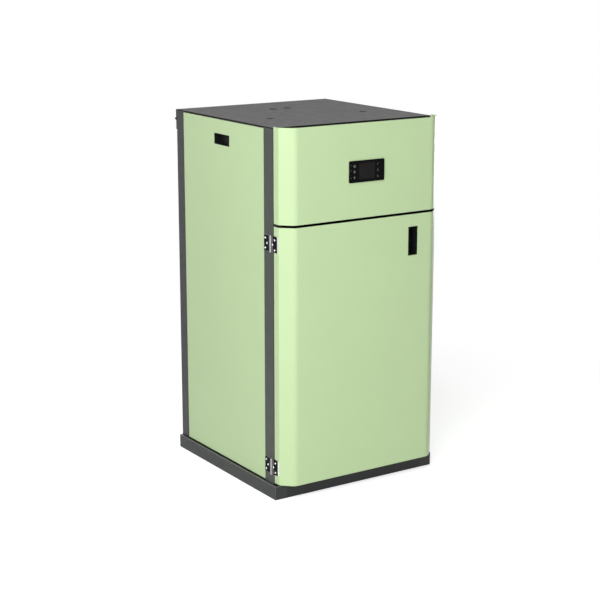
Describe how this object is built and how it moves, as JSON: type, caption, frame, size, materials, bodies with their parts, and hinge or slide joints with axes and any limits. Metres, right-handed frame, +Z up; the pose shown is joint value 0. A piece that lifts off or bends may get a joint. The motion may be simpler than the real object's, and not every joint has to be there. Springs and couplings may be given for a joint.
{
  "type": "pellet boiler",
  "caption": "Floor-standing pellet boiler in a sheet steel cabinet with a bevelled front door, a display panel, a hinged lid over the fuel hopper, and flue and water connections at the rear",
  "frame": {"origin": "on the floor under the middle of the cabinet", "axes": "+X to the right of a person facing the front, +Y to the rear, +Z up; the door is on the -Y side"},
  "size_m": [0.618, 0.742, 1.184],
  "materials": {
    "green_paint": "satin powder coat",
    "grey_lid_paint": "fine-textured powder coat",
    "post_paint": "satin powder coat",
    "plinth_paint": "matt powder coat",
    "rear_paint": "satin powder coat",
    "zinc_sheet": "galvanised",
    "boiler_paint": "heat-proof matt paint",
    "cast_iron": "as cast",
    "smoke_sheet": "heat-proof matt paint",
    "scale_steel": "dull",
    "stainless": "brushed",
    "hinge_black": "gloss",
    "bright_steel": "bright",
    "black_plastic": "fine grained",
    "gloss_black": "gloss",
    "screen_glass": "gloss",
    "rubber": "matt",
    "gasket_rope": "woven",
    "ceramic": "glazed",
    "motor_black": "semi-gloss",
    "pipe_brass": "machined",
    "pump_red": "gloss",
    "vessel_red": "gloss"
  },
  "bodies": {
    "cabinet": {"plinth": "plinth_paint", "floor_pan": "zinc_sheet", "front_post_left": "post_paint", "front_post_right": "post_paint", "rear_post_left": "post_paint", "rear_post_right": "post_paint", "front_crossbars": "post_paint", "rear_panel": "rear_paint", "top_deck": "zinc_sheet", "lid_seal": "rubber", "lid_hinge_brackets": "hinge_black", "upper_front_panel": "green_paint", "panel_brackets": "zinc_sheet", "display_bezel": "gloss_black", "display_screen": "screen_glass", "door_hinge_fixed": "hinge_black", "door_hinge_pins": "bright_steel", "door_magnet": "black_plastic", "boiler_body": "boiler_paint", "burner_pot": "cast_iron", "igniter": "ceramic", "smoke_cover": "smoke_sheet", "smoke_box": "smoke_sheet", "flue_spigot": "smoke_sheet", "fan_housing": "zinc_sheet", "fan_motor": "motor_black", "hopper": "zinc_sheet", "auger_tube": "zinc_sheet", "gear_motor": "motor_black", "drop_chute": "zinc_sheet", "water_pipes": "pipe_brass", "circulation_pump": "pump_red", "expansion_vessel": "vessel_red", "control_box": "black_plastic", "mains_inlet": "black_plastic"},
    "side_left": {"side_panel_left": "green_paint", "finger_pull_left": "black_plastic"},
    "side_right": {"side_panel_right": "green_paint", "finger_pull_right": "black_plastic"},
    "lid": {"top_lid": "grey_lid_paint", "lid_hinge_straps": "hinge_black"},
    "door": {"door_shell": "green_paint", "door_liner": "rear_paint", "door_handle_cup": "black_plastic", "door_hinge_moving": "hinge_black"},
    "fire_door": {"fire_door": "cast_iron", "fire_door_gasket": "gasket_rope"},
    "fire_door_handle": {"fire_door_handle": "stainless"},
    "ash_drawer": {"ash_drawer": "scale_steel"},
    "turbulators": {"turbulators": "scale_steel"},
    "cleaning_lever": {"cleaning_lever": "stainless"},
    "fan_impeller": {"fan_impeller": "stainless"},
    "auger_screw": {"auger_screw": "stainless"},
    "rocker_switch": {"rocker_switch": "gloss_black"},
    "key_1": {"key_1": "gloss_black"},
    "key_2": {"key_2": "gloss_black"},
    "key_3": {"key_3": "gloss_black"},
    "key_4": {"key_4": "gloss_black"},
    "key_5": {"key_5": "gloss_black"},
    "key_6": {"key_6": "gloss_black"}
  },
  "joints": [
    {"name": "lid_hinge", "type": "hinge", "parent": "cabinet", "child": "lid", "pos_m": [0, 0.3098, 1.1485], "axis": [-1, 0, 0], "range_deg": [0, 80]},
    {"name": "door_hinge", "type": "hinge", "parent": "cabinet", "child": "door", "pos_m": [-0.3048, -0.292, 0.46475], "axis": [0, 0, -1], "range_deg": [0, 135]},
    {"name": "fire_door_hinge", "type": "hinge", "parent": "cabinet", "child": "fire_door", "pos_m": [-0.19, -0.249, 0.445], "axis": [0, 0, -1], "range_deg": [0, 90]},
    {"name": "fire_door_handle_turn", "type": "hinge", "parent": "fire_door", "child": "fire_door_handle", "pos_m": [0.14, -0.26, 0.47], "axis": [0, -1, 0], "range_deg": [0, 90]},
    {"name": "ash_drawer_slide", "type": "slide", "parent": "cabinet", "child": "ash_drawer", "axis": [0, -1, 0], "range_m": [0, 0.22]},
    {"name": "cleaning_lever_turn", "type": "hinge", "parent": "cabinet", "child": "cleaning_lever", "pos_m": [0, 0, 0.776], "axis": [1, 0, 0], "range_deg": [0, 20]},
    {"name": "turbulator_lift", "type": "slide", "parent": "cabinet", "child": "turbulators", "axis": [0, 0, 1], "range_m": [0, 0.021]},
    {"name": "fan_spin", "type": "hinge", "parent": "cabinet", "child": "fan_impeller", "pos_m": [-0.105, 0.17, 0.175], "axis": [0, 1, 0], "continuous": true},
    {"name": "auger_spin", "type": "hinge", "parent": "cabinet", "child": "auger_screw", "pos_m": [-0.09, 0.18, 0.7], "axis": [1, 0, 0], "continuous": true},
    {"name": "key_1_press", "type": "slide", "parent": "cabinet", "child": "key_1", "axis": [0, 1, 0], "range_m": [0, 0.0012], "stiffness_N_per_m": 400},
    {"name": "key_2_press", "type": "slide", "parent": "cabinet", "child": "key_2", "axis": [0, 1, 0], "range_m": [0, 0.0012], "stiffness_N_per_m": 400},
    {"name": "key_3_press", "type": "slide", "parent": "cabinet", "child": "key_3", "axis": [0, 1, 0], "range_m": [0, 0.0012], "stiffness_N_per_m": 400},
    {"name": "key_4_press", "type": "slide", "parent": "cabinet", "child": "key_4", "axis": [0, 1, 0], "range_m": [0, 0.0012], "stiffness_N_per_m": 400},
    {"name": "key_5_press", "type": "slide", "parent": "cabinet", "child": "key_5", "axis": [0, 1, 0], "range_m": [0, 0.0012], "stiffness_N_per_m": 400},
    {"name": "key_6_press", "type": "slide", "parent": "cabinet", "child": "key_6", "axis": [0, 1, 0], "range_m": [0, 0.0012], "stiffness_N_per_m": 400},
    {"name": "rocker_tip", "type": "hinge", "parent": "cabinet", "child": "rocker_switch", "pos_m": [0.2, 0.296, 1.03], "axis": [1, 0, 0], "range_deg": [0, 20]},
    {"name": "side_panel_left_pull", "type": "slide", "parent": "cabinet", "child": "side_left", "axis": [-1, 0, 0], "range_m": [0, 0.04]},
    {"name": "side_panel_right_pull", "type": "slide", "parent": "cabinet", "child": "side_right", "axis": [1, 0, 0], "range_m": [0, 0.04]}
  ],
  "couplings": [
    {"joint": "fire_door_hinge", "follows": "door_hinge", "ratio": 0.6666},
    {"joint": "ash_drawer_slide", "follows": "door_hinge", "m_per_rad": 0.0933},
    {"joint": "turbulator_lift", "follows": "cleaning_lever_turn", "m_per_rad": 0.0601}
  ]
}
